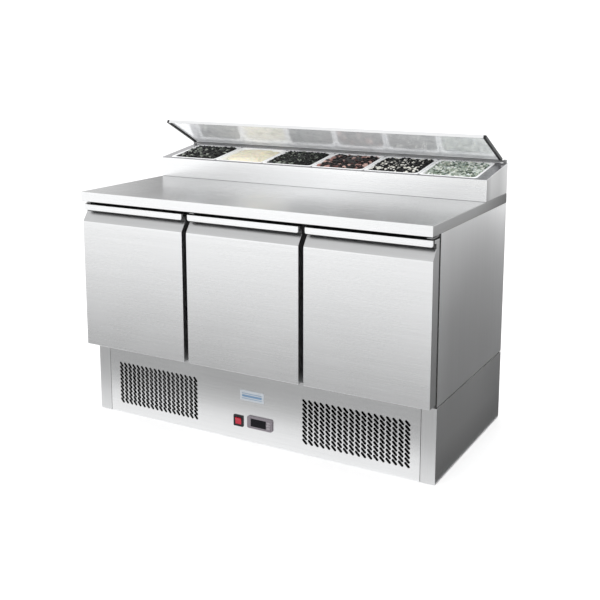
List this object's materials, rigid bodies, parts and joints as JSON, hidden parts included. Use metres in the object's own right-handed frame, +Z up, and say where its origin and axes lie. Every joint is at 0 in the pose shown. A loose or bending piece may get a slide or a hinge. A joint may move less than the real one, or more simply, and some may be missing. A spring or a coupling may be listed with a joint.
{
  "type": "sandwich prep table",
  "caption": "Refrigerated sandwich prep table with three doors, a worktop, a raised well of food pans under a hinged lid, and a vented base.",
  "frame": {"origin": "on the floor, under the middle of the cabinet's width and depth", "axes": "+X to the cook's right along the counter, +Y from the cook's side to the back, +Z up"},
  "size_m": [1.365, 0.72, 1.0756],
  "materials": {
    "steel": "fine straight brushed grain, satin",
    "steel_dark": "plain mill finish, slightly dull",
    "zinc": "zinc coated sheet, matt",
    "foam": "foamed in place, matt",
    "white_liner": "white coated, satin",
    "rubber": "soft extruded seal, matt",
    "black": "moulded black, satin",
    "grey_plastic": "moulded grey, fine texture",
    "red": "moulded red, glossy",
    "coil": "bare fins, dull",
    "compressor": "black enamel, semi-gloss"
  },
  "bodies": {
    "cabinet": {"base_side_left": "steel", "base_side_right": "steel", "base_front_panel": "steel", "side_panel_left": "steel", "side_panel_right": "steel", "worktop": "steel", "hopper_casing": "steel", "pan_frame": "steel", "condenser_fan_motor": "steel_dark", "door_frame": "steel_dark", "shelf_rail_front": "steel_dark", "shelf_rail_back": "steel_dark", "lid_hinge_rod": "steel_dark", "door_hinge_top_1": "steel_dark", "door_hinge_top_2": "steel_dark", "door_hinge_top_3": "steel_dark", "door_hinge_bottom_1": "steel_dark", "door_hinge_bottom_2": "steel_dark", "door_hinge_bottom_3": "steel_dark", "base_back_panel": "zinc", "base_tray": "zinc", "back_panel": "zinc", "cabinet_insulation": "foam", "worktop_core": "foam", "cabinet_liner": "white_liner", "shelf_1": "white_liner", "shelf_2": "white_liner", "shelf_3": "white_liner", "evaporator_cover": "white_liner", "power_inlet": "black", "switch_housing": "black", "controller_housing": "grey_plastic", "condenser_coil": "coil", "evaporator_coil": "coil", "compressor": "compressor"},
    "door_1": {"door_1_skin": "steel", "door_1_liner": "white_liner", "door_1_gasket": "rubber"},
    "door_2": {"door_2_skin": "steel", "door_2_liner": "white_liner", "door_2_gasket": "rubber"},
    "door_3": {"door_3_skin": "steel", "door_3_liner": "white_liner", "door_3_gasket": "rubber"},
    "lid": {"lid_shell": "steel", "lid_liner": "steel", "lid_end_cap_left": "black", "lid_end_cap_right": "black"},
    "pan_body_1": {"pan_1": "steel"},
    "pan_body_2": {"pan_2": "steel"},
    "pan_body_3": {"pan_3": "steel"},
    "pan_body_4": {"pan_4": "steel"},
    "pan_body_5": {"pan_5": "steel"},
    "pan_body_6": {"pan_6": "steel"},
    "evaporator_fan_body": {"evaporator_fan": "black"},
    "condenser_fan_body": {"condenser_fan": "grey_plastic"},
    "rocker": {"switch_rocker": "red"},
    "key_up_body": {"key_up": "black"},
    "key_set_body": {"key_set": "black"},
    "key_down_body": {"key_down": "black"}
  },
  "joints": [
    {"name": "door_1_hinge", "type": "hinge", "parent": "cabinet", "child": "door_1", "pos_m": [-0.6665, -0.33, 0.5375], "axis": [0, 0, -1], "range_deg": [0, 100]},
    {"name": "door_2_hinge", "type": "hinge", "parent": "cabinet", "child": "door_2", "pos_m": [-0.20517, -0.33, 0.5375], "axis": [0, 0, -1], "range_deg": [0, 100]},
    {"name": "door_3_hinge", "type": "hinge", "parent": "cabinet", "child": "door_3", "pos_m": [0.6665, -0.33, 0.5375], "axis": [0, 0, 1], "range_deg": [0, 100]},
    {"name": "lid_hinge", "type": "hinge", "parent": "cabinet", "child": "lid", "pos_m": [0, 0.35097, 0.96581], "axis": [-1, 0, 0], "range_deg": [-35.3, 68]},
    {"name": "pan_1_lift", "type": "slide", "parent": "cabinet", "child": "pan_body_1", "axis": [0, -0.1408, 0.99], "range_m": [0, 0.013]},
    {"name": "pan_2_lift", "type": "slide", "parent": "cabinet", "child": "pan_body_2", "axis": [0, -0.1408, 0.99], "range_m": [0, 0.013]},
    {"name": "pan_3_lift", "type": "slide", "parent": "cabinet", "child": "pan_body_3", "axis": [0, -0.1408, 0.99], "range_m": [0, 0.013]},
    {"name": "pan_4_lift", "type": "slide", "parent": "cabinet", "child": "pan_body_4", "axis": [0, -0.1408, 0.99], "range_m": [0, 0.013]},
    {"name": "pan_5_lift", "type": "slide", "parent": "cabinet", "child": "pan_body_5", "axis": [0, -0.1408, 0.99], "range_m": [0, 0.013]},
    {"name": "pan_6_lift", "type": "slide", "parent": "cabinet", "child": "pan_body_6", "axis": [0, -0.1408, 0.99], "range_m": [0, 0.013]},
    {"name": "evaporator_fan_spin", "type": "hinge", "parent": "cabinet", "child": "evaporator_fan_body", "pos_m": [0, 0.196, 0.65], "axis": [0, 1, 0], "continuous": true},
    {"name": "condenser_fan_spin", "type": "hinge", "parent": "cabinet", "child": "condenser_fan_body", "pos_m": [-0.4, -0.168, 0.128], "axis": [0, 1, 0], "continuous": true},
    {"name": "switch_rock", "type": "hinge", "parent": "cabinet", "child": "rocker", "pos_m": [-0.055, -0.2885, 0.071], "axis": [-1, 0, 0], "range_deg": [0, 16]},
    {"name": "key_up_press", "type": "slide", "parent": "cabinet", "child": "key_up_body", "axis": [0, 1, 0], "range_m": [0, 0.0005], "stiffness_N_per_m": 300},
    {"name": "key_set_press", "type": "slide", "parent": "cabinet", "child": "key_set_body", "axis": [0, 1, 0], "range_m": [0, 0.0005], "stiffness_N_per_m": 300},
    {"name": "key_down_press", "type": "slide", "parent": "cabinet", "child": "key_down_body", "axis": [0, 1, 0], "range_m": [0, 0.0005], "stiffness_N_per_m": 300}
  ]
}
